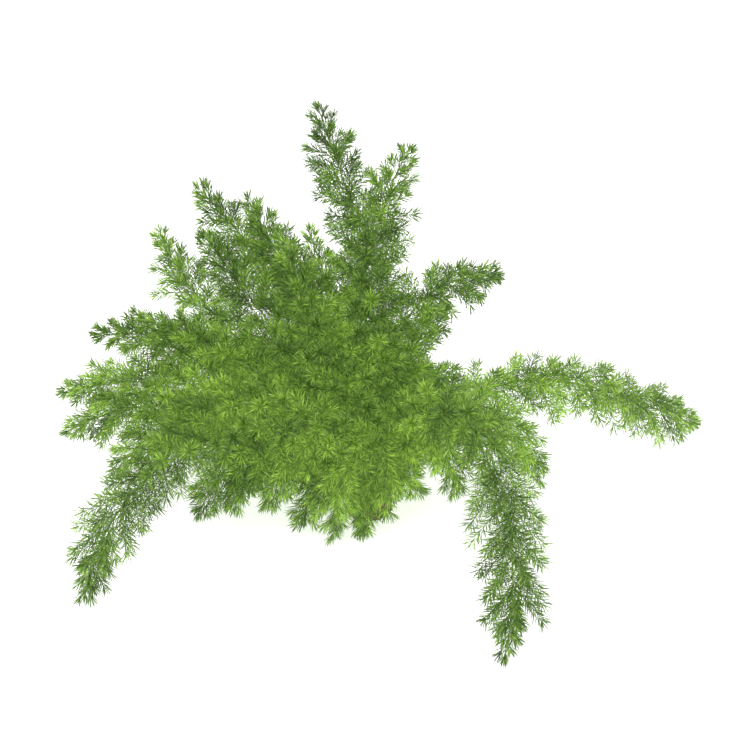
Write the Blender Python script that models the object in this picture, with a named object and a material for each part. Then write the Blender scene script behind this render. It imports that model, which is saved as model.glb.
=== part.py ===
"""Foxtail fern of the open, arching kind, cut level with the soil and resting on a surface.

A low woody crown lies flat. Green fronds stand in plain sockets in it and arch away on all sides.
Each frond is one closed surface: a stem, side twigs raised from it, and stars of needles raised
from both, so nothing in it is joined afterwards. What would touch another frond is turned clear.

Metres, +Z up, +X to the viewer's right, +Y away from the viewer. The origin is the centre of the
crown's flat underside.
"""

import random

import bpy
import numpy as np

SEED = 13

# Crown: a flat-bottomed woody dome with shallow lobes
CROWN_RADIUS = 0.042
CROWN_HEIGHT = 0.028
CROWN_SIDES = 16
CROWN_RINGS = 4
CROWN_LOBES = ((3, 0.05, 0.7), (7, 0.03, 2.1))  # count round the rim, share of the radius, phase

# Sockets for the stems
SOCKET_DEPTH = 0.010
SOCKET_GAP = 0.0003

# Stems: square in section, from the crown to the tip
STEM_SIDES = 4
STEM_ROOT_RADIUS = 0.0022
STEM_TIP_RADIUS = 0.0010
STEM_SAMPLES = 401
BARE_STEM = 0.062  # below the first twig, on a long frond
BARE_SHARE = 0.22  # the same on a short frond, as a share of its length
BARE_TIP = 0.0304  # beyond the last twig
STATION_SPACING = 0.0700
STATIONS_ON_SHORT = 5.2  # a short frond has about this many twigs
STEM_NODE = 0.0040  # length of the stem that a twig and its needles grow from
STEM_NODE_TAPER = 0.96

# Twigs: three-sided, leaving the stem at a slant
TWIG_TILT = 56
TWIG_REACH = 0.084
TWIG_LEAST = 0.024
TWIG_GROWTH = 0.38  # more twig for each metre away from the frond's tip
TWIG_GROWTH_AT_ROOT = 0.456
TWIG_ON_SHORT = 0.5  # longest twig, as a share of the stem
TWIG_END = 0.0171  # the needle that a twig ends in
TWIG_RADII = (0.0011, 0.0008)
TWIG_NODE = 0.0026
TWIG_NODE_TAPER = 0.92
TWIG_NODE_SPACING = 0.028
TWIG_DROOP = 0.10
TWIG_TURN = 137.5  # from one twig to the next, round the stem
TWIG_SHARES = (1, 0.8, 0.6)  # lengths tried until the twig fits, then how far it is turned aside
TWIG_ASIDE = (0, 20, -20, 40, -40, 65, -65, 95, -95, 130, -130, 180)

# Needles, at their real length
NEEDLE = 0.0190
NEEDLE_SHARES = (0.88, 1.04)  # of that length, from the shortest to the longest
NEEDLE_RADIUS = 0.0006
NEEDLE_FOOT = 0.12  # share of a needle that lies against its own shoot
WIDE_NEEDLE = (70, 34)  # tilt from the shoot and lean sideways, in degrees
STEEP_NEEDLE = (48, -26)
NEEDLE_SWAY = 4
NEEDLE_TRIES = ((0, 1), (7, 1), (-7, 1), (0, 0.75), (9, 0.75), (0, 0.55))  # more tilt, length left
CLEAR = 0.0013  # air between two shoots
CROWN_CLEAR = (0.0036, 0.0018)  # air round the crown's rim and over its top

# What is kept clear of what: the kinds of shoot
STEM, TWIG, COLLAR, FRINGE = range(4)
MOST_PIECES = 12000

FLOOR = 0.0006  # the lowest that a frond's own points come

# Each frond: root as (angle round the crown, distance from its axis), tip,
# then how it leaves and how it arrives, both as (heading, pitch, pull towards that direction)
FRONDS = {
    "right_arch": ((12, 0.031), (0.635, 0.225, 0.026), (14, 68, 0.34), (20, -34, 0.34)),
    "right_hook": ((-12, 0.031), (0.300, -0.055, 0.080), (2, 70, 0.25), (-30, -76, 0.20)),
    "right_short": ((-48, 0.032), (0.100, -0.076, 0.066), (-37, 70, 0.11), (-40, -50, 0.08)),
    "right_front": ((-36, 0.021), (0.158, -0.090, 0.078), (-20, 76, 0.26), (-50, -70, 0.15)),
    "front_right": ((-16, 0.014), (0.213, -0.440, 0.001), (-2, 76, 0.42), (-114, -58, 0.32)),
    "front_high": ((288, 0.020), (0.032, -0.110, 0.040), (300, 82, 0.24), (275, -72, 0.14)),
    "front_short": ((268, 0.032), (-0.010, -0.115, 0.004), (262, 74, 0.14), (270, -64, 0.08)),
    "front_middle": ((256, 0.019), (-0.062, -0.130, 0.012), (258, 80, 0.24), (262, -74, 0.16)),
    "front_short_left": ((238, 0.031), (-0.120, -0.110, 0.022), (222, 70, 0.18), (225, -66, 0.12)),
    "left_front_low": ((218, 0.031), (-0.185, -0.115, 0.066), (212, 72, 0.22), (215, -64, 0.14)),
    "left_front_high": ((222, 0.018), (-0.237, -0.120, 0.062), (214, 78, 0.31), (218, -68, 0.18)),
    "left_front": ((203, 0.030), (-0.300, -0.115, 0.046), (204, 66, 0.24), (205, -68, 0.18)),
    "front_left": ((191, 0.033), (-0.470, -0.285, 0.001), (190, 58, 0.36), (236, -78, 0.23)),
    "left_body": ((196, 0.016), (-0.375, -0.060, 0.150), (188, 72, 0.26), (192, -46, 0.20)),
    "left_lower": ((180, 0.027), (-0.455, -0.050, 0.090), (184, 58, 0.28), (200, -52, 0.20)),
    "left_low": ((168, 0.032), (-0.545, 0.000, 0.150), (180, 52, 0.26), (184, -34, 0.20)),
    "left_high": ((152, 0.032), (-0.555, 0.040, 0.215), (164, 54, 0.28), (182, -14, 0.20)),
    "left_flat": ((137, 0.032), (-0.505, 0.165, 0.270), (146, 58, 0.24), (170, 0, 0.24)),
    "left_upper": ((148, 0.020), (-0.430, 0.160, 0.318), (148, 68, 0.24), (158, 18, 0.20)),
    "left_spike": ((124, 0.021), (-0.380, 0.270, 0.440), (144, 60, 0.24), (128, 72, 0.18)),
    "left_inner": ((180, 0.009), (-0.292, 0.140, 0.492), (156, 78, 0.24), (146, 50, 0.22)),
    "back_left": ((112, 0.030), (-0.318, 0.275, 0.520), (130, 68, 0.26), (150, 34, 0.22)),
    "back_left_inner": ((100, 0.019), (-0.222, 0.240, 0.515), (124, 78, 0.26), (134, 46, 0.20)),
    "middle": ((140, 0.009), (-0.152, 0.110, 0.505), (150, 82, 0.20), (126, 56, 0.16)),
    "middle_inner": ((90, 0.004), (-0.110, 0.150, 0.498), (112, 84, 0.22), (132, 58, 0.16)),
    "top": ((62, 0.013), (-0.092, 0.225, 0.694), (62, 82, 0.32), (136, 60, 0.26)),
    "top_right": ((24, 0.018), (0.080, 0.165, 0.640), (112, 84, 0.30), (36, 44, 0.18)),
    "right_high": ((50, 0.024), (0.255, 0.265, 0.338), (70, 84, 0.32), (32, -14, 0.24)),
    "right_middle": ((26, 0.031), (0.150, 0.150, 0.335), (50, 82, 0.20), (34, 20, 0.12)),
    "right_back": ((44, 0.034), (0.175, 0.190, 0.185), (48, 72, 0.14), (44, -8, 0.12)),
    "back_right": ((66, 0.034), (0.110, 0.350, 0.001), (64, 66, 0.20), (80, -68, 0.18)),
    "back": ((86, 0.034), (-0.060, 0.430, 0.001), (92, 62, 0.26), (105, -68, 0.20)),
    "back_left_low": ((99, 0.037), (-0.280, 0.360, 0.001), (118, 58, 0.28), (132, -70, 0.20)),
}


def aim(heading, pitch):
    """Unit direction at this heading, anticlockwise from +X, and this pitch above the surface."""
    heading, pitch = np.radians((heading, pitch))
    flat = np.cos(pitch)
    return np.array([flat * np.cos(heading), flat * np.sin(heading), np.sin(pitch)])


def unit(vector):
    return vector / np.linalg.norm(vector)


def crown_top(distance):
    """Height of the crown's dome at this distance from its axis."""
    return CROWN_HEIGHT * np.sqrt(1 - (distance / CROWN_RADIUS) ** 2)


def cross_directions(along):
    """Two directions square to along and to each other."""
    across = unit(np.cross(along, (0, 0, 1) if abs(along[2]) < 0.9 else (1, 0, 0)))
    return across, np.cross(along, across)


class Stem:
    """The smooth line of a frond's stem, read by the distance from the crown's surface."""

    def __init__(self, root, tip, leave, arrive):
        angle, distance = np.radians(root[0]), root[1]
        start = (distance * np.cos(angle), distance * np.sin(angle), crown_top(distance))
        points = np.array((start, start, tip, tip), float)
        points[1] += aim(*leave[:2]) * leave[2]
        points[2] -= aim(*arrive[:2]) * arrive[2]
        t = np.linspace(0, 1, STEM_SAMPLES)[:, None]
        weights = ((1 - t) ** 3, 3 * t * (1 - t) ** 2, 3 * t**2 * (1 - t), t**3)
        self.line = sum(w * p for w, p in zip(weights, points))
        steps = np.linalg.norm(np.diff(self.line, axis=0), axis=1)
        self.reached = np.concatenate([[0], np.cumsum(steps)])
        self.length = self.reached[-1]
        self.along = np.gradient(self.line, self.reached, axis=0)
        self.along /= np.linalg.norm(self.along, axis=1)[:, None]
        across = cross_directions(self.along[0])[0]
        self.across = []
        for direction in self.along:
            across = unit(across - direction * (across @ direction))
            self.across.append(across)

    def at(self, distance):
        """Centre, direction, two cross directions and radius. A distance under zero is in the crown."""
        i = int(np.searchsorted(self.reached, np.clip(distance, 0, self.length)))
        along, across = self.along[i], self.across[i]
        centre = np.array([np.interp(distance, self.reached, axis) for axis in self.line.T])
        centre += along * min(distance, 0)
        share = np.clip(distance / self.length, 0, 1)
        radius = STEM_ROOT_RADIUS + (STEM_TIP_RADIUS - STEM_ROOT_RADIUS) * share
        return centre, along, across, np.cross(along, across), radius

    def stations(self):
        """Distances at which a twig grows."""
        first = min(BARE_STEM, BARE_SHARE * self.length)
        last = self.length - BARE_TIP
        spacing = min(STATION_SPACING, self.length / STATIONS_ON_SHORT)
        return np.linspace(first, last, max(2, round((last - first) / spacing)))

    def bends(self):
        """Distances at which the surface turns, from the crown to the tip: the stations, and the
        middle of each stretch between them."""
        first, *_, last = stations = self.stations()
        middles = (stations[1:] + stations[:-1]) / 2
        return np.sort([0, first / 2, *stations, *middles, self.length])


class Air:
    """The straight pieces that already stand, and whether another fits between them."""

    def __init__(self, most):
        self.starts, self.ends = np.zeros((2, most, 3))
        self.radii, self.shoots = np.zeros(most), np.zeros(most, int)
        self.count = 0

    def fill(self, start, end, radius, shoot):
        n = self.count
        self.starts[n], self.ends[n], self.radii[n], self.shoots[n] = start, end, radius, shoot
        self.count += 1

    def fits(self, start, end, radius, but):
        """Whether the piece stays clear of all that stands, except of the shoots named in but."""
        if min(start[2], end[2]) < FLOOR - 1e-9:
            return False
        for point in (start, (start + end) / 2, end):
            out = np.hypot(*point[:2]) / (CROWN_RADIUS + CROWN_CLEAR[0])
            if out**2 + (point[2] / (CROWN_HEIGHT + CROWN_CLEAR[1])) ** 2 < 1:
                return False
        n = self.count
        near = ~np.isin(self.shoots[:n], but)
        reach = self.radii[:n][near] + radius + CLEAR
        return bool((distances(start, end, self.starts[:n][near], self.ends[:n][near]) > reach).all())


def distances(start, end, starts, ends):
    """Least distance from one straight piece to each of many."""
    mine, others, apart = end - start, ends - starts, start - starts
    a, e = mine @ mine, (others * others).sum(1)
    b, c, f = others @ mine, apart @ mine, (others * apart).sum(1)
    cross = np.maximum(a * e - b * b, 1e-18)
    s = np.clip((b * f - c * e) / cross, 0, 1)
    t = np.clip((b * s + f) / e, 0, 1)
    s = np.clip((b * t - c) / a, 0, 1)
    return np.linalg.norm(apart + s[:, None] * mine - t[:, None] * others, axis=1)


class Skin:
    """A surface that grows ring by ring. Triangles turn anticlockwise seen from outside."""

    def __init__(self):
        self.points, self.triangles = [], []

    def add(self, point):
        self.points.append(tuple(point))
        return len(self.points) - 1

    def ring(self, centre, across, up, radius, sides, spin=0):
        turns = np.radians(spin) + np.arange(sides) * 2 * np.pi / sides
        return [self.add(centre + radius * (np.cos(t) * across + np.sin(t) * up)) for t in turns]

    def wall(self, back, front):
        """For each side between two rings, its rear and its front triangle, not yet kept."""
        for k in range(len(back)):
            n = (k + 1) % len(back)
            yield (back[k], back[n], front[n]), (back[k], front[n], front[k])

    def tube(self, back, front):
        for pair in self.wall(back, front):
            self.triangles += pair

    def spike(self, base, apex):
        """Closes a triangle or a ring with a point, which makes a needle."""
        tip = self.add(apex)
        self.triangles += [(a, b, tip) for a, b in zip(base, base[1:] + base[:1])]

    def middle(self, triangle):
        return np.mean([self.points[i] for i in triangle], axis=0)


def twig_length(stem, distance):
    """Short at the frond's tip, full further in, and shorter again near the crown."""
    from_tip = TWIG_LEAST + TWIG_GROWTH * (stem.length - distance)
    from_root = TWIG_LEAST + TWIG_GROWTH_AT_ROOT * distance
    return min(from_tip, from_root, TWIG_REACH, TWIG_ON_SHORT * stem.length)


def leaning(along, across, up, tilt, round_angle):
    """Direction tilted away from along, towards the side at round_angle."""
    tilt, turn = np.radians((tilt, round_angle))
    return np.cos(tilt) * along + np.sin(tilt) * (np.cos(turn) * across + np.sin(turn) * up)


def twig_line(start, direction, length):
    """Points of a twig: its start, its nodes, each a little lower than straight on, and its tip."""
    inner = length - TWIG_END
    count = max(1, round(inner / TWIG_NODE_SPACING))
    points = [start]
    for _ in range(count):
        points.append(points[-1] + direction * inner / count)
        direction = unit(direction + (0, 0, -TWIG_DROOP))
    return points + [points[-1] + direction * TWIG_END]


def grow_twig(stem, distance, azimuth, air, but):
    """The first slant, turn and length at which a twig fits, as (azimuth, points), or None."""
    centre, along, across, up, radius = stem.at(distance)
    for share in TWIG_SHARES:
        for turn in TWIG_ASIDE:
            direction = leaning(along, across, up, TWIG_TILT, azimuth + turn)
            start = centre + direction * radius
            points = twig_line(start, direction, max(TWIG_LEAST, share * twig_length(stem, distance)))
            pieces = zip(points, points[1:])
            if all(air.fits(a, b, TWIG_RADII[0], but) for a, b in pieces):
                return azimuth + turn, points
    return None


class Frond(Skin):
    """One frond's surface, grown into the air that is left for it."""

    def __init__(self, number, stem, air, draw):
        super().__init__()
        self.number, self.stem, self.air, self.draw = number, stem, air, draw
        self.spin = 0

    def shoot(self, station, kind):
        """One number for each stem, twig, collar of a twig and fringe of needles on the stem."""
        return 4 * (64 * self.number + station) + kind

    def plan_stem(self):
        """Takes the stem's place in the air."""
        bends = self.stem.bends()
        centres = [self.stem.at(bend)[0] for bend in bends]
        for bend, start, end in zip(bends, centres, centres[1:]):
            self.air.fill(start, end, self.stem.at(bend)[4], self.shoot(0, STEM))

    def plan_twigs(self):
        """Finds a place for a twig at each station, as (distance, azimuth, points)."""
        self.twigs = []
        azimuth = self.draw.uniform(0, 360)
        for station, distance in enumerate(self.stem.stations()):
            found = grow_twig(self.stem, distance, azimuth, self.air, [self.shoot(0, STEM)])
            self.twigs.append((distance, *(found or (azimuth, ()))))
            azimuth += TWIG_TURN
            points = self.twigs[-1][2]
            for i, (start, end) in enumerate(zip(points, points[1:])):
                kind = TWIG if i else COLLAR
                self.air.fill(start, end, TWIG_RADII[0], self.shoot(station, kind))

    def raise_needle(self, triangle, frame, turn, kind, but, shoot):
        """Pulls a triangle out to a needle where there is room, and leaves it flat elsewhere."""
        base = self.middle(triangle)
        tilt, lean = kind
        length = NEEDLE * self.draw.uniform(*NEEDLE_SHARES)
        bend = self.draw.uniform(-NEEDLE_SWAY, NEEDLE_SWAY)
        for more, share in NEEDLE_TRIES:
            direction = leaning(*frame, tilt + bend + more, turn + lean)
            apex = base + direction * length * share
            apex[2] = max(apex[2], FLOOR)
            if self.air.fits(base + (apex - base) * NEEDLE_FOOT, apex, NEEDLE_RADIUS, but):
                self.air.fill(base, apex, NEEDLE_RADIUS, shoot)
                self.spike(triangle, apex)
                return
        self.triangles.append(triangle)

    def build_twig(self, base, points, station):
        """Raises a twig from a triangle of the stem, with a star of needles at each node."""
        twig, collar = self.shoot(station, TWIG), self.shoot(station, COLLAR)
        corner = self.points[base[0]] - self.middle(base)
        back = list(base)
        for i in range(1, len(points) - 1):
            along = unit(points[i + 1] - points[i - 1])
            across = unit(corner - along * (corner @ along))
            frame = (along, across, np.cross(along, across))
            radius = np.interp(i, (1, 3), TWIG_RADII)
            half = along * TWIG_NODE / 2
            rear = self.ring(points[i] - half, *frame[1:], radius, 3)
            front = self.ring(points[i] + half, *frame[1:], TWIG_NODE_TAPER * radius, 3)
            self.tube(back, rear)
            for k, (low, high) in enumerate(self.wall(rear, front)):
                turn = 120 * k + 60
                self.raise_needle(low, frame, turn, WIDE_NEEDLE, (twig, collar), twig)
                if k == (station + i) % 3:
                    self.triangles.append(high)
                else:
                    self.raise_needle(high, frame, turn, STEEP_NEEDLE, (twig, collar), twig)
            back = front
        self.spike(back, points[-1])

    def build_station(self, back, station, distance, azimuth, points):
        """A short stretch of stem with its twig and a fringe of needles. Gives the ring it ends in.

        The stem twists by less than half a side, so that one side faces the twig.
        """
        centre, along, across, up, radius = self.stem.at(distance)
        side = 360 / STEM_SIDES
        to_twig = azimuth - side / 2 - self.spin
        self.spin += (to_twig + side / 2) % side - side / 2
        chosen = round((azimuth - side / 2 - self.spin) / side) % STEM_SIDES
        half = along * STEM_NODE / 2
        rear = self.ring(centre - half, across, up, radius, STEM_SIDES, self.spin)
        front = self.ring(centre + half, across, up, STEM_NODE_TAPER * radius, STEM_SIDES, self.spin)
        self.tube(back, rear)
        fringe = self.shoot(station, FRINGE)
        but = (self.shoot(0, STEM), self.shoot(station, COLLAR), fringe)
        for k, (low, high) in enumerate(self.wall(rear, front)):
            if k == chosen and points:
                self.build_twig(low, points, station)
                self.triangles.append(high)
                continue
            frame, turn = (along, across, up), self.spin + side * (k + 0.5)
            self.raise_needle(low, frame, turn, WIDE_NEEDLE, but, fringe)
            if k == (chosen + 2) % STEM_SIDES:
                self.raise_needle(high, frame, turn, STEEP_NEEDLE, but, fringe)
            else:
                self.triangles.append(high)
        return front

    def build(self):
        """The whole frond, from its foot in the socket to the needle at its tip."""
        rings = []
        for distance in (-SOCKET_DEPTH, 0, self.stem.bends()[1]):
            centre, _, across, up, radius = self.stem.at(distance)
            rings.append(self.ring(centre, across, up, radius, STEM_SIDES))
        foot = rings[0][::-1]
        self.triangles += [tuple(foot[:3]), (foot[0], foot[2], foot[3])]
        for back, front in zip(rings, rings[1:]):
            self.tube(back, front)
        back = rings[-1]
        for station, twig in enumerate(self.twigs):
            if station:
                centre, _, across, up, radius = self.stem.at((self.twigs[station - 1][0] + twig[0]) / 2)
                middle = self.ring(centre, across, up, radius, STEM_SIDES, self.spin)
                self.tube(back, middle)
                back = middle
            back = self.build_station(back, station, *twig)
        self.spike(back, self.stem.at(self.stem.length)[0])


def green(share):
    """A leaf green for a frond, from young and yellow at 0 to old and dark at 1."""
    young, old = np.array([0.16, 0.30, 0.035]), np.array([0.05, 0.14, 0.018])
    return young + (old - young) * share


def coat(obj, name, colour, roughness):
    """Gives the object a material of its own."""
    material = bpy.data.materials.new(name)
    material.use_nodes = True
    shader = material.node_tree.nodes["Principled BSDF"]
    shader.inputs["Base Color"].default_value = (*colour, 1)
    shader.inputs["Roughness"].default_value = roughness
    shader.inputs["Metallic"].default_value = 0
    obj.data.materials.append(material)


def new_object(name, points, faces, into):
    mesh = bpy.data.meshes.new(name)
    mesh.from_pydata([tuple(p) for p in points], [], [tuple(f) for f in faces])
    mesh.update()
    obj = bpy.data.objects.new(name, mesh)
    into.objects.link(obj)
    return obj


def crown_shape():
    """A dome of rings that narrow towards the top, on a flat bottom."""
    skin = Skin()
    turns = np.arange(CROWN_SIDES) * 2 * np.pi / CROWN_SIDES
    lobed = 1 + sum(share * np.sin(count * turns + phase) for count, share, phase in CROWN_LOBES)
    rings = []
    for climb in np.arange(CROWN_RINGS) / CROWN_RINGS * np.pi / 2:
        reach, height = CROWN_RADIUS * np.cos(climb), CROWN_HEIGHT * np.sin(climb)
        outline = zip(reach * lobed * np.cos(turns), reach * lobed * np.sin(turns))
        rings.append([skin.add((x, y, height)) for x, y in outline])
    for back, front in zip(rings, rings[1:]):
        skin.tube(back, front)
    skin.spike(rings[-1], (0, 0, CROWN_HEIGHT))
    skin.spike(rings[0][::-1], (0, 0, 0))
    return skin


def build_crown(stems, scene):
    """Cuts one socket in the dome for each stem, and leaves the cutters out of what shows."""
    skin = crown_shape()
    crown = new_object("crown", skin.points, skin.triangles, scene)
    sockets = bpy.data.collections.new("sockets")
    scene.children.link(sockets)
    sockets.hide_render = True
    for name, stem in stems.items():
        cutter = Skin()
        _, along, across, up, radius = stem.at(0)
        radius += SOCKET_GAP * np.sqrt(2)
        ends = stem.at(-SOCKET_DEPTH - SOCKET_GAP)[0], stem.at(0)[0] + along * SOCKET_DEPTH
        foot, head = (cutter.ring(end, across, up, radius, STEM_SIDES) for end in ends)
        cutter.tube(foot, head)
        for a, b, c, d in (foot[::-1], head):
            cutter.triangles += [(a, b, c), (a, c, d)]
        tool = new_object("socket_" + name, cutter.points, cutter.triangles, sockets)
        tool.hide_render = True
        tool.display_type = "WIRE"
    cut = crown.modifiers.new("sockets", "BOOLEAN")
    cut.operation = "DIFFERENCE"
    cut.operand_type = "COLLECTION"
    cut.collection = sockets
    cut.solver = "EXACT"
    crown.data.shade_smooth()
    crown.data.set_sharp_from_angle(angle=np.radians(40))
    coat(crown, "bark", (0.16, 0.09, 0.05), 0.85)


def main():
    for obj in list(bpy.data.objects):
        bpy.data.objects.remove(obj)
    scene = bpy.context.scene.collection
    draw = random.Random(SEED)
    stems = {name: Stem(*course) for name, course in FRONDS.items()}
    build_crown(stems, scene)

    air = Air(MOST_PIECES)
    fronds = {name: Frond(i, stem, air, draw) for i, (name, stem) in enumerate(stems.items())}
    for frond in fronds.values():
        frond.plan_stem()
    for frond in fronds.values():
        frond.plan_twigs()
    for name, frond in fronds.items():
        frond.build()
        obj = new_object("frond_" + name, frond.points, frond.triangles, scene)
        coat(obj, "green_" + name, green(draw.random()), 0.5)


main()
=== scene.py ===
"""Foxtail fern of the open, arching kind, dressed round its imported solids.

Metres, +Z up, +X to the viewer's right, +Y away from the viewer. The origin is the centre of the
crown's flat underside. The script follows the plant from the inside out: the woody crown, the line
of each frond, its stem, its needles, its twigs and its skin, and then the whole fronds. The floor,
the light and the camera come last.
"""

import bpy
import numpy as np
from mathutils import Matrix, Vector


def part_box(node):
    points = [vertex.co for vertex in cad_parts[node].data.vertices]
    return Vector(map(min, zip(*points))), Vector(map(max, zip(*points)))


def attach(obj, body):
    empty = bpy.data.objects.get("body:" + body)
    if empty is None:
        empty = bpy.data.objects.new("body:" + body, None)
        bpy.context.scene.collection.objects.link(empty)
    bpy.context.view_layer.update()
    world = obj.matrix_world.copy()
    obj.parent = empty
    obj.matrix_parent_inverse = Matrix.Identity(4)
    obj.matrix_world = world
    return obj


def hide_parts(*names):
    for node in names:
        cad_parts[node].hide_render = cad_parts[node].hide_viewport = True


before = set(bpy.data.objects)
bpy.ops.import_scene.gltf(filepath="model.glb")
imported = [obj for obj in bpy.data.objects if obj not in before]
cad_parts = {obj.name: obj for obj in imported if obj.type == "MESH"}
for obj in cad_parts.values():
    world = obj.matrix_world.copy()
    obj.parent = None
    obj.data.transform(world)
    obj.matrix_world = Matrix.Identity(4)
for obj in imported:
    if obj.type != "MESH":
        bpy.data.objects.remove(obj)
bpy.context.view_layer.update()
draw = np.random.default_rng(17)


# The crown. A low woody knob of old stem bases, all grown together, brown and rough as cork. The
# fronds come up out of it, and it lies on the cut, flat side. Its size is the solid crown's.
CROWN_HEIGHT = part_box("crown")[1].z
CROWN_RADIUS = 0.042
CROWN_LOBES = ((3, 0.05, 0.7), (7, 0.03, 2.1))  # count round the rim, share of the radius, phase
CROWN_RIDGES = ((29, 7, 0.012), (17, -5, 0.010))  # count round, twist up it, share of the radius
CROWN_SIDES = 96
CROWN_FLAT_RINGS = (0.3, 0.6, 0.85)  # rings on the underside, as shares of the radius
CROWN_DOME_RINGS = 26
BARK_FLAKE = 0.0035  # from one flake to the next
BARK_BLOTCH = 0.0117  # from one paler patch to the next
BARK_LAYERS = 6.0  # of ever finer mottle in a patch
BARK_BROWNS = ((0.35, "322c20"), (0.62, "5a4f3a"), (0.95, "80755a"))  # from crack to worn flake
BARK_DEPTH = 0.0012  # of the cracks
BARK_ROUGHNESS = 0.88
BARK_SPECULAR = 0.25


def linear(hex_colour):
    """A colour written as six sRGB hex digits, as linear red, green, blue and alpha."""
    srgb = np.array([int(hex_colour[i : i + 2], 16) for i in (0, 2, 4)]) / 255
    value = np.where(srgb > 0.04045, ((srgb + 0.055) / 1.055) ** 2.4, srgb / 12.92)
    return (*value, 1.0)


def add_node(material, kind, links=(), stops=(), **settings):
    """Adds a node. A link is (input, socket), a setting is an attribute or an input's value, and the
    stops of a colour ramp are (place, hex colour)."""
    node = material.node_tree.nodes.new(kind)
    for name, value in settings.items():
        if hasattr(node, name):
            setattr(node, name, value)
        else:
            node.inputs[name.replace("_", " ")].default_value = value
    for place, socket in links:
        material.node_tree.links.new(node.inputs[place], socket)
    if stops:
        points = node.color_ramp.elements
        while len(points) < len(stops):
            points.new(1.0)
        for point, (place, colour) in zip(points, stops):
            point.position = place
            point.color = linear(colour)
    return node


def new_material(name):
    """A new material with nodes, and its shader, whose inputs are left to be set or linked."""
    material = bpy.data.materials.new(name)
    material.use_nodes = True
    return material, material.node_tree.nodes["Principled BSDF"]


def rods(centres, across, up, radii, sides):
    """Closed round rods that run through these centres, as (rods, rings, 3). The first and last
    centres are their points. Round each other centre stands a ring of corners, at the centre plus
    radius * (cos(turn) * across + sin(turn) * up). Gives corners and triangles."""
    count, rings = centres.shape[:2]
    turns = np.arange(sides) * 2 * np.pi / sides
    cos_turn = np.cos(turns)[:, None]
    sin_turn = np.sin(turns)[:, None]
    inner = radii[:, 1:-1, None]
    body = (
        centres[:, 1:-1, None]
        + (inner * across[:, 1:-1])[:, :, None] * cos_turn
        + (inner * up[:, 1:-1])[:, :, None] * sin_turn
    )
    body = body.reshape(count, (rings - 2) * sides, 3)
    corners = np.concatenate([centres[:, :1], body, centres[:, -1:]], axis=1)
    side = np.arange(sides)
    after = (side + 1) % sides
    back = 1 + np.arange(rings - 3)[:, None] * sides
    walls = [
        np.stack([back + side, back + after, back + sides + after], -1),
        np.stack([back + side, back + sides + after, back + sides + side], -1),
    ]
    last = 1 + (rings - 3) * sides
    foot = np.stack([np.zeros(sides, int), 1 + after, 1 + side], -1)
    head = np.stack([last + side, last + after, np.full(sides, last + sides)], -1)
    one = np.concatenate([foot, *(wall.reshape(-1, 3) for wall in walls), head])
    step = np.arange(count)[:, None, None] * corners.shape[1]
    return corners.reshape(-1, 3), (one + step).reshape(-1, 3)


def new_piece(name, corners, triangles, materials):
    """A smooth mesh at the origin from arrays of corners and triangles, with its materials."""
    mesh = bpy.data.meshes.new(name)
    mesh.vertices.add(len(corners))
    mesh.vertices.foreach_set("co", corners.astype(np.float32).ravel())
    mesh.loops.add(triangles.size)
    mesh.loops.foreach_set("vertex_index", triangles.astype(np.int32).ravel())
    mesh.polygons.add(len(triangles))
    mesh.polygons.foreach_set("loop_start", np.arange(0, triangles.size, 3, dtype=np.int32))
    mesh.update(calc_edges=True)
    mesh.validate()
    mesh.shade_smooth()
    for material in materials:
        mesh.materials.append(material)
    piece = bpy.data.objects.new(name, mesh)
    bpy.context.scene.collection.objects.link(piece)
    return piece


def crown_shape():
    """Rings round the upright axis: flat ones below, then radius * cos(climb) and height *
    sin(climb) for the dome. The radius swells and sinks with the sines of lobes and ridges."""
    climb = np.linspace(0, np.pi / 2, CROWN_DOME_RINGS, endpoint=False)
    flat = np.array(CROWN_FLAT_RINGS)
    radii = CROWN_RADIUS * np.concatenate([[0], flat, np.cos(climb), [0]])
    heights = CROWN_HEIGHT * np.concatenate([[0], 0 * flat, np.sin(climb), [1]])
    centres = np.zeros((1, len(radii), 3))
    centres[0, :, 2] = heights
    level = np.zeros_like(centres)
    corners, triangles = rods(centres, level + (1, 0, 0), level + (0, 1, 0), radii[None], CROWN_SIDES)
    turn = np.arctan2(corners[:, 1], corners[:, 0])
    rise = corners[:, 2] / CROWN_HEIGHT
    swell = 1 + sum(share * np.sin(count * turn + phase) for count, share, phase in CROWN_LOBES)
    for count, twist, share in CROWN_RIDGES:
        swell += share * np.sin(count * turn + twist * rise) * np.sin(np.pi * np.clip(rise, 0, 1))
    corners[:, :2] *= swell[:, None]
    return corners, triangles


def cork_bark():
    """Cork-like bark, grown in flakes: dull, dark in the cracks and pale on the worn flakes."""
    material, shader = new_material("cork_bark")
    place = add_node(material, "ShaderNodeTexCoord").outputs["Object"]
    flakes = add_node(
        material,
        "ShaderNodeTexVoronoi",
        [("Vector", place)],
        feature="DISTANCE_TO_EDGE",
        Scale=1 / BARK_FLAKE,
    ).outputs["Distance"]
    mottle = add_node(
        material,
        "ShaderNodeTexNoise",
        [("Vector", place)],
        Scale=1 / BARK_BLOTCH,
        Detail=BARK_LAYERS,
    ).outputs["Fac"]
    both = add_node(
        material, "ShaderNodeMath", [(0, flakes), (1, mottle)], operation="ADD"
    ).outputs[0]
    browns = add_node(material, "ShaderNodeValToRGB", [("Fac", both)], BARK_BROWNS)
    bump = add_node(material, "ShaderNodeBump", [("Height", both)], Distance=BARK_DEPTH)
    links = material.node_tree.links
    links.new(shader.inputs["Base Color"], browns.outputs["Color"])
    links.new(shader.inputs["Normal"], bump.outputs["Normal"])
    shader.inputs["Roughness"].default_value = BARK_ROUGHNESS
    shader.inputs["Specular IOR Level"].default_value = BARK_SPECULAR
    return material


crown = new_piece("crown_bark", *crown_shape(), [cork_bark()])
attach(crown, "root")
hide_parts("crown")


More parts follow.
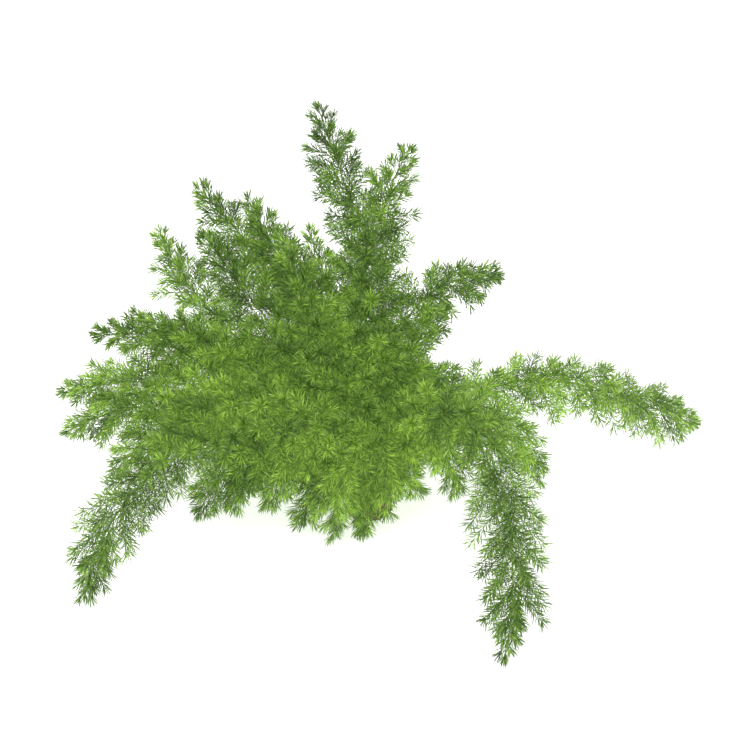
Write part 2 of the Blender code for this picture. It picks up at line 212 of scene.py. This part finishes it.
# The line of each frond, from the crown to its furthest needle. A young frond shoots up from the
# crown, and its own weight and its search for light then arch it over.
LINE_SAMPLES = 401
# Each frond's root as (angle round the crown, distance from its axis), its tip, and how it leaves the
# crown and arrives at its tip, both as (heading, pitch, pull in that direction).
FRONDS = {
    "right_arch": ((12, 0.031), (0.635, 0.225, 0.026), (14, 68, 0.34), (20, -34, 0.34)),
    "right_hook": ((-12, 0.031), (0.300, -0.055, 0.080), (2, 70, 0.25), (-30, -76, 0.20)),
    "right_short": ((-48, 0.032), (0.100, -0.076, 0.066), (-37, 70, 0.11), (-40, -50, 0.08)),
    "right_front": ((-36, 0.021), (0.158, -0.090, 0.078), (-20, 76, 0.26), (-50, -70, 0.15)),
    "front_right": ((-16, 0.014), (0.213, -0.440, 0.001), (-2, 76, 0.42), (-114, -58, 0.32)),
    "front_high": ((288, 0.020), (0.032, -0.110, 0.040), (300, 82, 0.24), (275, -72, 0.14)),
    "front_short": ((268, 0.032), (-0.010, -0.115, 0.004), (262, 74, 0.14), (270, -64, 0.08)),
    "front_middle": ((256, 0.019), (-0.062, -0.130, 0.012), (258, 80, 0.24), (262, -74, 0.16)),
    "front_short_left": ((238, 0.031), (-0.120, -0.110, 0.022), (222, 70, 0.18), (225, -66, 0.12)),
    "left_front_low": ((218, 0.031), (-0.185, -0.115, 0.066), (212, 72, 0.22), (215, -64, 0.14)),
    "left_front_high": ((222, 0.018), (-0.237, -0.120, 0.062), (214, 78, 0.31), (218, -68, 0.18)),
    "left_front": ((203, 0.030), (-0.300, -0.115, 0.046), (204, 66, 0.24), (205, -68, 0.18)),
    "front_left": ((191, 0.033), (-0.470, -0.285, 0.001), (190, 58, 0.36), (236, -78, 0.23)),
    "left_body": ((196, 0.016), (-0.375, -0.060, 0.150), (188, 72, 0.26), (192, -46, 0.20)),
    "left_lower": ((180, 0.027), (-0.455, -0.050, 0.090), (184, 58, 0.28), (200, -52, 0.20)),
    "left_low": ((168, 0.032), (-0.545, 0.000, 0.150), (180, 52, 0.26), (184, -34, 0.20)),
    "left_high": ((152, 0.032), (-0.555, 0.040, 0.215), (164, 54, 0.28), (182, -14, 0.20)),
    "left_flat": ((137, 0.032), (-0.505, 0.165, 0.270), (146, 58, 0.24), (170, 0, 0.24)),
    "left_upper": ((148, 0.020), (-0.430, 0.160, 0.318), (148, 68, 0.24), (158, 18, 0.20)),
    "left_spike": ((124, 0.021), (-0.380, 0.270, 0.440), (144, 60, 0.24), (128, 72, 0.18)),
    "left_inner": ((180, 0.009), (-0.292, 0.140, 0.492), (156, 78, 0.24), (146, 50, 0.22)),
    "back_left": ((112, 0.030), (-0.318, 0.275, 0.520), (130, 68, 0.26), (150, 34, 0.22)),
    "back_left_inner": ((100, 0.019), (-0.222, 0.240, 0.515), (124, 78, 0.26), (134, 46, 0.20)),
    "middle": ((140, 0.009), (-0.152, 0.110, 0.505), (150, 82, 0.20), (126, 56, 0.16)),
    "middle_inner": ((90, 0.004), (-0.110, 0.150, 0.498), (112, 84, 0.22), (132, 58, 0.16)),
    "top": ((62, 0.013), (-0.092, 0.225, 0.694), (62, 82, 0.32), (136, 60, 0.26)),
    "top_right": ((24, 0.018), (0.080, 0.165, 0.640), (112, 84, 0.30), (36, 44, 0.18)),
    "right_high": ((50, 0.024), (0.255, 0.265, 0.338), (70, 84, 0.32), (32, -14, 0.24)),
    "right_middle": ((26, 0.031), (0.150, 0.150, 0.335), (50, 82, 0.20), (34, 20, 0.12)),
    "right_back": ((44, 0.034), (0.175, 0.190, 0.185), (48, 72, 0.14), (44, -8, 0.12)),
    "back_right": ((66, 0.034), (0.110, 0.350, 0.001), (64, 66, 0.20), (80, -68, 0.18)),
    "back": ((86, 0.034), (-0.060, 0.430, 0.001), (92, 62, 0.26), (105, -68, 0.20)),
    "back_left_low": ((99, 0.037), (-0.280, 0.360, 0.001), (118, 58, 0.28), (132, -70, 0.20)),
}


def unit(vectors):
    """The same directions, each one metre long."""
    return vectors / np.linalg.norm(vectors, axis=-1, keepdims=True)


def aim(heading, pitch):
    """Direction at this heading, anticlockwise from +X, and this pitch above the surface."""
    heading, pitch = np.radians((heading, pitch))
    flat = np.cos(pitch)
    return np.array([flat * np.cos(heading), flat * np.sin(heading), np.sin(pitch)])


class Line:
    """A cubic Bezier curve, read by the distance along it from the crown's surface. Its inner
    points are the root plus the first pull and the tip less the second, each along its direction."""

    def __init__(self, root, tip, leave, arrive):
        angle = np.radians(root[0])
        distance = root[1]
        height = CROWN_HEIGHT * np.sqrt(1 - (distance / CROWN_RADIUS) ** 2)
        start = (distance * np.cos(angle), distance * np.sin(angle), height)
        ends = np.array((start, start, tip, tip), float)
        ends[1] += aim(*leave[:2]) * leave[2]
        ends[2] -= aim(*arrive[:2]) * arrive[2]
        t = np.linspace(0, 1, LINE_SAMPLES)[:, None]
        shares = ((1 - t) ** 3, 3 * t * (1 - t) ** 2, 3 * t**2 * (1 - t), t**3)
        self.points = sum(share * end for share, end in zip(shares, ends))
        steps = np.linalg.norm(np.diff(self.points, axis=0), axis=1)
        self.reached = np.concatenate([[0], np.cumsum(steps)])
        self.length = self.reached[-1]
        self.along = unit(np.gradient(self.points, self.reached, axis=0))
        flattest = np.linalg.svd(self.points - self.points.mean(axis=0))[2][2]
        self.across = unit(flattest - self.along * (self.along @ flattest)[:, None])

    def at(self, distances):
        """Centres, directions and two cross directions at these distances."""

        def read(columns):
            return np.stack([np.interp(distances, self.reached, c) for c in columns.T], -1)

        along = unit(read(self.along))
        across = unit(read(self.across))
        return read(self.points), along, across, np.cross(along, across)


# The stem of a frond. Wiry and round, green where young and brownish at the foot, a little thicker at
# each joint. It is rooted in the crown, and at every few joints a short dry spine points back down.
STEM_SIDES = 6
STEM_RING = 0.006  # from one ring of the surface to the next
STEM_RADII = (0.0023, 0.0009)  # at the crown and at the tip
STEM_SUNK = 0.008  # how far the foot goes down into the crown
NEEDLE_LENGTH = 0.0250
NEEDLE_ROOM = 0.9 * NEEDLE_LENGTH  # how far short of its end a stem or twig stops for its needles
JOINT_SWELL = 0.22  # of the radius
JOINT_LENGTH = 0.003
FOOT_SHARE = 0.14  # the brownish part, as a share of the stem
SPINE_LENGTH = 0.0050
SPINE_RADIUS = 0.0007
SPINE_SIDES = 3
SPINE_SHAPE = (0, 0.35, 1)  # where its foot, its thickest place and its point are along it
SPINE_EVERY = 3  # joints from one spine to the next
SPINE_TILT = 128  # degrees from the way that the stem grows
GREEN_NEEDLE, GREEN_STEM, DRY_SCALE = range(3)  # the finishes, in the order of a frond's materials


class Growth:
    """The shapes of one frond, gathered with their finish, youth and place along the shape."""

    def __init__(self):
        self.corners = []
        self.triangles = []
        self.finish = []
        self.youth = []
        self.reach = []
        self.count = 0

    def add(self, corners, triangles, finish, youth, reach):
        """Like shapes. youth runs from 0 for old to 1 for young, with a row for each shape. reach has
        one value for each corner of a shape, from 0 at its foot to 1 at its end."""
        self.corners.append(corners.reshape(-1, 3))
        self.triangles.append(triangles.reshape(-1, 3) + self.count)
        self.finish.append(np.full(len(self.triangles[-1]), finish))
        shapes = len(self.corners[-1]) // len(reach)
        self.youth.append(np.broadcast_to(youth, (shapes, len(reach))).ravel())
        self.reach.append(np.tile(reach, shapes))
        self.count += len(self.corners[-1])

    def add_rods(self, centres, across, up, radii, sides, finish, youth):
        """Round rods. youth has a row for each rod, with one value, or one for each ring."""
        corners, triangles = rods(centres, across, up, radii, sides)
        count, rings = centres.shape[:2]
        ring = np.concatenate([[0], np.repeat(np.arange(1, rings - 1), sides), [rings - 1]])
        youth = np.broadcast_to(youth, (count, rings))[:, ring]
        self.add(corners, triangles, finish, youth, ring / (rings - 1))

    def piece(self, name, materials):
        """One mesh of all the shapes, with their youth and reach as attributes for the materials."""
        corners = np.concatenate(self.corners)
        triangles = np.concatenate(self.triangles)
        whole = new_piece(name, corners, triangles, materials)
        finish = np.concatenate(self.finish).astype(np.int32)
        whole.data.polygons.foreach_set("material_index", finish)
        for attribute in ("youth", "reach"):
            values = np.concatenate(getattr(self, attribute)).astype(np.float32)
            layer = whole.data.attributes.new(attribute, "FLOAT", "POINT")
            layer.data.foreach_set("value", values)
        return whole


def leaning(along, across, up, tilt, turn):
    """Directions tilted away from along: cos(tilt) along, and sin(tilt) round it at the turn."""
    tilt = np.radians(tilt)[..., None]
    turn = np.radians(turn)[..., None]
    return np.cos(tilt) * along + np.sin(tilt) * (np.cos(turn) * across + np.sin(turn) * up)


def grow_stem(growth, line, joints, youth):
    """A rod along the line. Each ring's radius falls evenly to the tip and swells by a bell curve of
    the distance from the nearest joint."""
    end = line.length - NEEDLE_ROOM
    marks = np.linspace(0, end, int(end / STEM_RING))
    centres, along, across, up = line.at(marks)
    centres = np.concatenate([centres[:1] - along[:1] * STEM_SUNK, centres])
    across, up = (np.concatenate([axes[:1], axes]) for axes in (across, up))
    nearest = np.abs(marks[:, None] - joints).min(axis=1)
    radii = np.interp(marks, (0, end), STEM_RADII)
    radii *= 1 + JOINT_SWELL * np.exp(-((nearest / JOINT_LENGTH) ** 2))
    radii = np.concatenate([[0], radii])
    greening = np.interp(np.linspace(0, 1, len(centres)), (0, FOOT_SHARE), (0, youth))
    rod = (centres[None], across[None], up[None], radii[None])
    growth.add_rods(*rod, STEM_SIDES, GREEN_STEM, greening[None])


def grow_spines(growth, line, joints):
    """Spindles that stand out from the stem. Each of a spindle's centres is the middle of the stem
    plus its share of the length outwards."""
    centres, along, across, up = line.at(joints)
    count, rings = len(joints), len(SPINE_SHAPE)
    turn = draw.uniform(0, 360, count)
    out = leaning(along, across, up, np.full(count, SPINE_TILT), turn)
    points = centres[:, None] + np.array(SPINE_SHAPE)[:, None] * SPINE_LENGTH * out[:, None]
    side = unit(np.cross(along, out))
    side, above = (np.repeat(axes[:, None], rings, axis=1) for axes in (side, np.cross(out, side)))
    radii = np.full((count, rings), SPINE_RADIUS)
    growth.add_rods(points, side, above, radii, SPINE_SIDES, DRY_SCALE, 0)


# The needles. They are not leaves but flattened green twiglets, 17 to 26 mm long and about 1.5 mm wide
# for most of their length, with a blunt keel below and a fine point. The scales round the foot of a
# stem, which wrapped the shoot when it came up, are the same shape, but shorter, broad and dry.
NEEDLE_WIDTH = 0.0021  # the two edges' reach to either side, added up
NEEDLE_THICKNESS = 0.0009
NEEDLE_ROLL = 50  # how far its flat side may turn about its length, in degrees
# The corners: the foot, one on each edge, one under them for the keel, and the point, each as shares
# of the length, of the width to one side and of the thickness downwards. One edge is widest low down
# and the other high up, so that the needle keeps its width for most of its length.
BLADE_CORNERS = ((0, 0, 0), (0.30, -0.5, 0), (0.75, 0.5, 0), (0.5, 0, 1), (1, 0, 0.2))
BLADE_FACES = ((0, 1, 2), (1, 4, 2), (1, 0, 3), (0, 2, 3), (4, 1, 3), (2, 4, 3))
BLADE_BEND = (-0.06, 0.10)  # how far the end bends off straight, as a share of the length
FLOOR_GAP = 0.0008  # the lowest that a twig or needle comes
STEEPEST = 0.98  # the most that a direction lifted off the floor may point up
SCALES = 5
SCALE_LENGTH = 0.017
SCALE_SHARES = (0.7, 1.0)  # of that length, from the shortest to the longest
SCALE_WIDTH = 0.0042
SCALE_THICKNESS = 0.0012
SCALE_TILT = (12, 30)  # away from the stem, from the least to the most
SCALE_SWAY = 20  # how far the turn may stray


def spread(middle, width, count):
    """Evenly drawn values from middle - width to middle + width."""
    return middle + draw.uniform(-width, width, count)


def above_floor(starts, directions, reach, sag=0.0):
    """Directions with their upward share raised where start + reach * direction - sag would be under
    the floor. The level share shrinks to keep the direction's length."""
    least = (FLOOR_GAP + sag - starts[..., 2]) / reach
    rise = np.clip(np.maximum(directions[..., 2], least), -1, STEEPEST)
    level = np.linalg.norm(directions[..., :2], axis=-1)
    shrink = np.sqrt(1 - rise**2) / np.maximum(level, 1e-6)
    return np.concatenate([directions[..., :2] * shrink[..., None], rise[..., None]], axis=-1)


def grow_blades(growth, starts, direction, side, length, width, thickness, finish, youth):
    """Flat, keeled blades. A corner is start + t * length * direction + aside * width * side, less
    below * thickness along the normal, and the blade bends by t squared along the normal."""
    normal = np.cross(direction, side)
    t, aside, below = np.array(BLADE_CORNERS).T[:, None, :, None]
    reach = length[:, None, None]
    bend = draw.uniform(*BLADE_BEND, len(starts))[:, None, None]
    corners = (
        starts[:, None]
        + t * reach * direction[:, None]
        + aside * width * side[:, None]
        + (bend * t**2 * reach - below * thickness) * normal[:, None]
    )
    corners[..., 2] = np.maximum(corners[..., 2], FLOOR_GAP / 2)
    triangles = np.array(BLADE_FACES) + np.arange(len(starts))[:, None, None] * len(BLADE_CORNERS)
    growth.add(corners, triangles, finish, youth[:, None], t.ravel())


def grow_needles(growth, starts, along, across, up, tilt, turn, length, youth):
    """Needles that lean out from a shoot, with their flat sides rolled a little either way."""
    direction = above_floor(starts, leaning(along, across, up, tilt, turn), length)
    side = unit(np.cross(along, direction))
    roll = np.radians(spread(0, NEEDLE_ROLL, len(starts)))[:, None]
    side = np.cos(roll) * side + np.sin(roll) * np.cross(direction, side)
    size = (NEEDLE_WIDTH, NEEDLE_THICKNESS)
    grow_blades(growth, starts, direction, side, length, *size, GREEN_NEEDLE, youth)


def grow_scales(growth, line):
    """Scales in a ring round the foot of the stem, with their flat sides to it."""
    starts, along, across, up = line.at(np.zeros(SCALES))
    turn = spread(np.arange(SCALES) * 360 / SCALES, SCALE_SWAY, SCALES)
    direction = leaning(along, across, up, draw.uniform(*SCALE_TILT, SCALES), turn)
    side = unit(np.cross(along, direction))
    length = SCALE_LENGTH * draw.uniform(*SCALE_SHARES, SCALES)
    size = (SCALE_WIDTH, SCALE_THICKNESS)
    grow_blades(growth, starts, direction, side, length, *size, DRY_SCALE, np.zeros(SCALES))


# The side twigs. Thin, green and wiry, they leave the stem all round it at a slant, each a golden
# angle on from the last, and sag. They are long in the middle of a frond and short towards its ends.
# At its tip they are young, and they and their needles lie closer to the shoot that they grow from.
BARE_STEM, BARE_POWER = 0.18, 1.4  # the first twig is BARE_STEM * length ** BARE_POWER from the crown
BARE_TIP = 0.029  # from the last twig to the end of the frond
TWIG_STEP = 0.0058  # from one twig to the next, on average
TWIG_CROWDING = 0.86  # below 1, the twigs stand closer towards the frond's tip
TWIG_TILT = (56, 30)  # away from the stem, on most of the frond and at its tip
TWIG_TURN = 137.5  # degrees from one twig to the next
TWIG_SWAY = (9, 14)  # how far the tilt and the turn may stray
TWIG_REACH = 0.090  # the longest, with its end needles
TWIG_OF_FROND = 0.5  # the longest as a share of the frond, for the shortest fronds
TWIG_LEAST = (0.033, 0.023)  # the shortest, at the crown and at the tip
TWIG_GROWTH = 0.46  # more twig for each metre away from either end of the frond
TWIG_SHARES = (0.70, 1.08)  # of that reach, from the shortest to the longest
TWIG_STUB = 0.004  # the least of a twig below its end needles
TWIG_RINGS = 5
TWIG_SIDES = 3
TWIG_RADII = (0.00070, 0.00042)
TWIG_DROOP = 5.5  # how fast it turns down, per metre
TWIG_YOUTH = 0.22  # how far its green may stray from the frond's
OLDER_AT_TIP = 0.20  # how much less light its green is at the frond's tip
YOUNG_TIP = 0.20  # the length of the young end of a frond
CLOSED_AT_TIP = 0.5  # how much less the needles there tilt away
SHORT_AT_TIP = 0.15  # how much shorter they are


def twig_places(line):
    """Distances along the stem, from the first to the last by a power of the twig's number."""
    first = BARE_STEM * line.length**BARE_POWER
    last = line.length - BARE_TIP
    share = np.linspace(0, 1, int((last - first) / TWIG_STEP)) ** TWIG_CROWDING
    return first + (last - first) * share


def twig_reach(line, distance):
    """Whole length of a twig with its end needles, at this distance along the frond."""
    from_root = TWIG_LEAST[0] + TWIG_GROWTH * distance
    from_tip = TWIG_LEAST[1] + TWIG_GROWTH * (line.length - distance)
    longest = min(TWIG_REACH, TWIG_OF_FROND * line.length)
    return np.minimum(np.minimum(from_tip, from_root), longest)


def between(ends, share):
    """The first of two ends where the share is 0, the second where it is 1, and evenly between."""
    return ends[0] + (ends[1] - ends[0]) * share


class Twigs:
    """The twigs of one frond. The point at distance s along a twig is its start + s * direction,
    lowered by droop * s squared / 2."""

    def __init__(self, line, places, frond_youth):
        count = len(places)
        self.start, self.along, self.across, self.up = line.at(places)
        near_tip = np.clip(1 - (line.length - places) / YOUNG_TIP, 0, 1)
        self.openness = 1 - CLOSED_AT_TIP * near_tip
        self.needle = NEEDLE_LENGTH * (1 - SHORT_AT_TIP * near_tip)
        tilt = spread(between(TWIG_TILT, near_tip), TWIG_SWAY[0], count)
        turn = spread(draw.uniform(0, 360) + TWIG_TURN * np.arange(count), TWIG_SWAY[1], count)
        length = twig_reach(line, places) * draw.uniform(*TWIG_SHARES, count) - NEEDLE_ROOM
        self.length = np.maximum(length, TWIG_STUB)
        self.youth = spread(frond_youth - OLDER_AT_TIP * places / line.length, TWIG_YOUTH, count)
        sag = TWIG_DROOP * self.length**2 / 2
        out = leaning(self.along, self.across, self.up, tilt, turn)
        self.direction = above_floor(self.start, out, self.length, sag + FLOOR_GAP)

    def at(self, which, s):
        """Centre and frame of twig number which, at distance s from the stem."""
        direction = self.direction[which]
        fall = s[..., None] * (0, 0, -TWIG_DROOP)
        point = self.start[which] + s[..., None] * (direction + fall / 2)
        heading = unit(direction + fall)
        side = unit(np.cross(heading, self.along[which]))
        return point, heading, side, np.cross(heading, side)


def grow_twigs(growth, twigs):
    """A thin rod along each twig, whose radius falls evenly to its end."""
    count = len(twigs.length)
    which = np.repeat(np.arange(count)[:, None], TWIG_RINGS, axis=1)
    s = np.linspace(0, 1, TWIG_RINGS) * twigs.length[:, None]
    centres, _, side, above = twigs.at(which, s)
    radii = np.linspace(*TWIG_RADII, TWIG_RINGS) * np.ones((count, 1))
    growth.add_rods(centres, side, above, radii, TWIG_SIDES, GREEN_STEM, twigs.youth[:, None])


# Where the needles stand. A twig is bare near the stem. Further out they stand round its joints in
# stars, which makes it an open spray with gaps on all sides, and a tuft ends it. A few grow straight
# from the stem beside each twig, and a last tuft, all swept forward, ends the frond.
BARE_TWIG = 0.011  # from the stem to the first star
STAR_STEP = 0.0043  # from one star to the next
STAR_NEEDLES = 6
STAR_TWIST = 77  # degrees from one star to the next
STAR_TILT = (66, 54)  # away from the twig, near the stem and near the twig's end
STAR_SWAY = (14, 16)  # how far the tilt and the turn may stray
STAR_SHARES = (0.78, 1.04)  # of a needle's length, from the shortest to the longest
TUFT_NEEDLES = 8
TUFT_TILT = (5, 48)  # the middle one, and those round it
TUFT_SWAY = (8, 25)
TUFT_SHARES = (0.80, 1.00)
FRINGE_NEEDLES = 2  # straight from the stem, at each twig
FRINGE_TILT = (46, 78)  # away from the stem, from the least to the most
FRINGE_SHARES = (0.70, 1.00)
YOUNGER_OUTWARDS = 0.11  # how much younger the end of a twig is than its foot
NEEDLE_YOUTH = 0.33  # how far a needle's green may stray from its twig's
STEM_END_TILT = (3, 14, 22, 16, 26, 18, 28, 20)  # of each needle in the last tuft
STEM_END_SWAY = 15
STEM_END_SHARES = (0.90, 0.75)  # the middle one, and the outermost


def grow_stars(growth, twigs):
    """Stars at even steps along each twig. A needle's turn is its share of the full turn, plus the
    twist of its star."""
    star_places = np.arange(BARE_TWIG, twigs.length.max(), STAR_STEP)
    which, number = np.nonzero(star_places < twigs.length[:, None])
    which, number = (np.repeat(each, STAR_NEEDLES) for each in (which, number))
    s = star_places[number]
    out = s / twigs.length[which]
    count = len(which)
    spoke = np.arange(count) % STAR_NEEDLES
    turn = spread(spoke * 360 / STAR_NEEDLES + number * STAR_TWIST, STAR_SWAY[1], count)
    tilt = spread(between(STAR_TILT, out), STAR_SWAY[0], count) * twigs.openness[which]
    length = twigs.needle[which] * draw.uniform(*STAR_SHARES, count)
    youth = spread(twigs.youth[which] + YOUNGER_OUTWARDS * out, NEEDLE_YOUTH, count)
    grow_needles(growth, *twigs.at(which, s), tilt, turn, length, youth)


def grow_tufts(growth, twigs):
    """At the end of each twig, one needle nearly straight on and the others in a cone round it."""
    which = np.repeat(np.arange(len(twigs.length)), TUFT_NEEDLES)
    count = len(which)
    spoke = np.arange(count) % TUFT_NEEDLES
    turn = spread(spoke * 360 / TUFT_NEEDLES, TUFT_SWAY[1], count)
    tilt = spread(np.where(spoke == 0, *TUFT_TILT), TUFT_SWAY[0], count) * twigs.openness[which]
    length = twigs.needle[which] * draw.uniform(*TUFT_SHARES, count)
    youth = spread(twigs.youth[which] + YOUNGER_OUTWARDS, NEEDLE_YOUTH, count)
    grow_needles(growth, *twigs.at(which, twigs.length[which]), tilt, turn, length, youth)


def grow_fringe(growth, twigs):
    """Needles on the stem where each twig leaves it, turned any way and tilted well out."""
    which = np.repeat(np.arange(len(twigs.length)), FRINGE_NEEDLES)
    count = len(which)
    turn = draw.uniform(0, 360, count)
    tilt = draw.uniform(*FRINGE_TILT, count) * twigs.openness[which]
    length = twigs.needle[which] * draw.uniform(*FRINGE_SHARES, count)
    youth = spread(twigs.youth[which], NEEDLE_YOUTH, count)
    stem = (axes[which] for axes in (twigs.start, twigs.along, twigs.across, twigs.up))
    grow_needles(growth, *stem, tilt, turn, length, youth)


def grow_frond_end(growth, line, youth):
    """The tuft at the tip of the stem. Its needles are shorter one by one and stand all round it."""
    count = len(STEM_END_TILT)
    turn = spread(np.arange(count) * 360 / count, STEM_END_SWAY, count)
    length = NEEDLE_LENGTH * np.linspace(*STEM_END_SHARES, count)
    stem = line.at(np.full(count, line.length - NEEDLE_ROOM))
    grow_needles(growth, *stem, np.array(STEM_END_TILT), turn, length, np.full(count, youth))


# The finishes of a frond. Living green skin, waxy and a little shiny, yellow-green where young and
# deep green where old, with some of the light that falls on a needle coming through it; the same
# skin on stems, duller and browner where old; and the dry papery brown of scales and spines.
NEEDLE_GREENS = ((0.0, "426029"), (0.35, "6a8c38"), (0.65, "8cb046"), (1.0, "badc62"))
STEM_GREENS = ((0.0, "54512b"), (0.3, "4b6a2e"), (0.6, "67893d"), (1.0, "93b560"))
PAPER_BROWNS = ((0.0, "5b4127"), (0.6, "8d6c45"), (1.0, "b99b6e"))
NEEDLE_ROUGHNESS = 0.42
STEM_ROUGHNESS = 0.50
PAPER_ROUGHNESS = 0.80
SKIN_SPECULAR = 0.4
LIGHT_THROUGH = 0.45  # share of a needle's light that comes through it
BLOTCH = 0.0111  # from one paler patch of skin to the next
BLOTCH_LAYERS = 3.0  # of ever finer mottle in a patch
BLOTCH_RANGE = (0.3, 0.7)  # where nearly all of the noise's values lie
BLOTCH_YOUTH = (-0.16, 0.16)  # how far they shift a shoot's youth


def living_green(name, greens, roughness, light_through):
    """Green by the youth of each shoot, with a soft mottle of slightly older and younger patches."""
    material, shader = new_material(name)
    youth = add_node(material, "ShaderNodeAttribute", attribute_name="youth").outputs["Fac"]
    place = add_node(material, "ShaderNodeTexCoord").outputs["Object"]
    mottle = add_node(
        material, "ShaderNodeTexNoise", [("Vector", place)], Scale=1 / BLOTCH, Detail=BLOTCH_LAYERS
    )
    shift = add_node(
        material,
        "ShaderNodeMapRange",
        [("Value", mottle.outputs["Fac"])],
        From_Min=BLOTCH_RANGE[0],
        From_Max=BLOTCH_RANGE[1],
        To_Min=BLOTCH_YOUTH[0],
        To_Max=BLOTCH_YOUTH[1],
    )
    both = add_node(
        material, "ShaderNodeMath", [(0, youth), (1, shift.outputs["Result"])], operation="ADD"
    )
    ramp = add_node(material, "ShaderNodeValToRGB", [("Fac", both.outputs[0])], greens)
    green = ramp.outputs["Color"]
    links = material.node_tree.links
    links.new(shader.inputs["Base Color"], green)
    shader.inputs["Roughness"].default_value = roughness
    shader.inputs["Specular IOR Level"].default_value = SKIN_SPECULAR
    if light_through:
        through = add_node(material, "ShaderNodeBsdfTranslucent", [("Color", green)])
        mix = add_node(
            material,
            "ShaderNodeMixShader",
            [(1, shader.outputs["BSDF"]), (2, through.outputs["BSDF"])],
            Fac=light_through,
        )
        output = material.node_tree.nodes["Material Output"]
        links.new(output.inputs["Surface"], mix.outputs["Shader"])
    return material


def dry_paper():
    """Dull brown, paler towards the edge and point of a scale or spine."""
    material, shader = new_material("dry_paper")
    reach = add_node(material, "ShaderNodeAttribute", attribute_name="reach").outputs["Fac"]
    browns = add_node(material, "ShaderNodeValToRGB", [("Fac", reach)], PAPER_BROWNS)
    material.node_tree.links.new(shader.inputs["Base Color"], browns.outputs["Color"])
    shader.inputs["Roughness"].default_value = PAPER_ROUGHNESS
    return material


# The fronds. Each is one piece from its foot to its last needle, as it grew, and no two are quite the
# same green. Each stands in the crown and takes the place of its plain solid.
FROND_YOUTH = (0.36, 0.62)
END_OLDER = 0.1  # how much less light the green of the last tuft is
finishes = [
    living_green("waxy_needle", NEEDLE_GREENS, NEEDLE_ROUGHNESS, LIGHT_THROUGH),
    living_green("wiry_stem", STEM_GREENS, STEM_ROUGHNESS, 0),
    dry_paper(),
]
for name, course in FRONDS.items():
    line = Line(*course)
    growth = Growth()
    youth = draw.uniform(*FROND_YOUTH)
    places = twig_places(line)
    grow_stem(growth, line, places, youth)
    grow_spines(growth, line, places[::SPINE_EVERY])
    grow_scales(growth, line)
    twigs = Twigs(line, places, youth)
    grow_twigs(growth, twigs)
    grow_stars(growth, twigs)
    grow_tufts(growth, twigs)
    grow_fringe(growth, twigs)
    grow_frond_end(growth, line, youth - END_OLDER)
    frond = growth.piece("fern_" + name, finishes)
    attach(frond, "root")
    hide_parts("frond_" + name)


# The floor. Plain white board, so wide that the camera sees none of its edges.
FLOOR_SIDE = 400
BOARD_WHITE = "f3f3f3"
BOARD_ROUGHNESS = 0.9
bpy.ops.mesh.primitive_plane_add(size=FLOOR_SIDE)
floor = bpy.context.object
floor.name = "floor"
board, shader = new_material("white_board")
shader.inputs["Base Color"].default_value = linear(BOARD_WHITE)
shader.inputs["Roughness"].default_value = BOARD_ROUGHNESS
floor.data.materials.append(board)


# The light. A white room, one wide soft lamp above, in front and to the left, and three fill lamps
# that stand for the white boards all round a small studio. The fill lamps cast no shadow, so that
# their light reaches in between the needles from every side.
ROOM_WHITE = "ffffff"
ROOM_STRENGTH = 0.70
LAMPS = {  # where it stands as (heading, height in degrees), how strong, how wide, casts a shadow
    "key_lamp": ((238, 56), 0.9, 40, True),
    "front_board": ((258, 40), 2.5, 60, False),
    "left_board": ((160, 50), 1.2, 60, False),
    "right_board": ((20, 62), 1.4, 60, False),
}
world = bpy.data.worlds.new("white_room")
world.use_nodes = True
world.node_tree.nodes["Background"].inputs["Color"].default_value = linear(ROOM_WHITE)
world.node_tree.nodes["Background"].inputs["Strength"].default_value = ROOM_STRENGTH
bpy.context.scene.world = world
for name, ((heading, height), strength, width, shades) in LAMPS.items():
    lamp = bpy.data.lights.new(name, "SUN")
    lamp.energy = strength
    lamp.angle = np.radians(width)
    lamp.use_shadow = shades
    holder = bpy.data.objects.new(name, lamp)
    holder.rotation_euler = (np.radians(90 - height), 0, np.radians(heading + 90))
    bpy.context.scene.collection.objects.link(holder)
bpy.context.scene.view_settings.view_transform = "Standard"


# The camera. It looks down at 30 degrees through a long lens, which keeps the whole plant in frame.
PICTURE_PIXELS = 731
PIXEL = 0.0018  # what one pixel of the picture spans at the crown
CROWN_AT = (368, 508)  # where the crown's underside is in the picture
LENS, SENSOR = 85.0, 36.0
LOOK_DOWN = 30
focal_pixels = PICTURE_PIXELS * LENS / SENSOR
view_dir = aim(90, -LOOK_DOWN)
view_up = aim(90, 90 - LOOK_DOWN)
right_of_middle = (CROWN_AT[0] - PICTURE_PIXELS / 2) / focal_pixels
above_middle = -(CROWN_AT[1] - PICTURE_PIXELS / 2) / focal_pixels
ray = view_dir + np.array([1, 0, 0]) * right_of_middle + view_up * above_middle
camera_data = bpy.data.cameras.new("camera")
camera_data.lens = LENS
camera_data.sensor_width = SENSOR
camera = bpy.data.objects.new("camera", camera_data)
camera.location = -ray * focal_pixels * PIXEL
camera.rotation_euler = (np.radians(90 - LOOK_DOWN), 0, 0)
bpy.context.scene.collection.objects.link(camera)
bpy.context.scene.camera = camera
